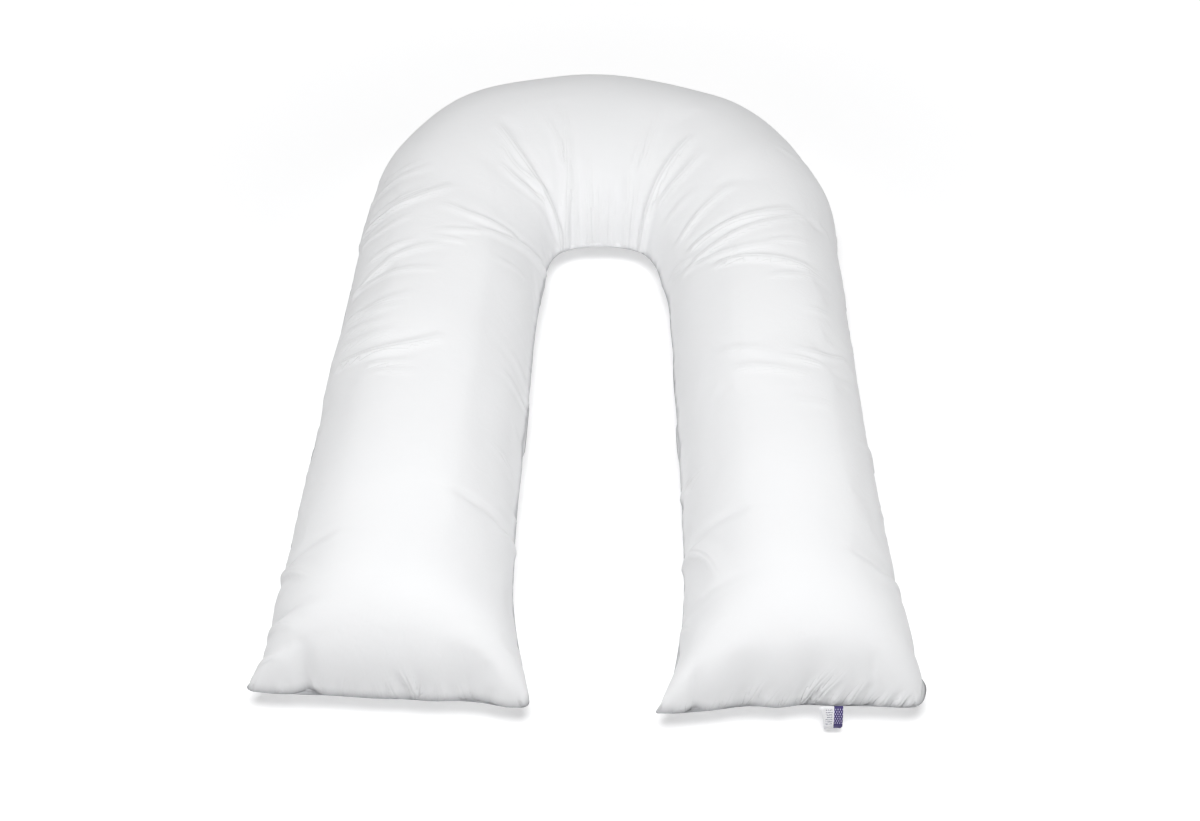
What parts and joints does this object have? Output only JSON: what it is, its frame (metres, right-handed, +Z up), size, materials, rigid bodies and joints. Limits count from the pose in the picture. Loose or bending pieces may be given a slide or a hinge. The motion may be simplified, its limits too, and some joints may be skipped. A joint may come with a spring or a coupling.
{
  "type": "u-shaped body pillow",
  "caption": "Soft U-shaped body pillow: one filled tube bent round an open middle, closed by a straight seam at each leg end, with a small sewn-in label.",
  "frame": {"origin": "centre of the bounding box in plan, at the flat underside", "axes": "+Z up from the bed, +Y from the leg ends towards the arch, +X across both legs"},
  "size_m": [0.872, 1.4068, 0.197],
  "materials": {
    "cotton": "plain woven cotton, matt",
    "tape": "white woven label tape, one half of it dark violet with plain marks"
  },
  "bodies": {
    "root": {"pillow": "cotton", "label": "tape"}
  },
  "joints": []
}
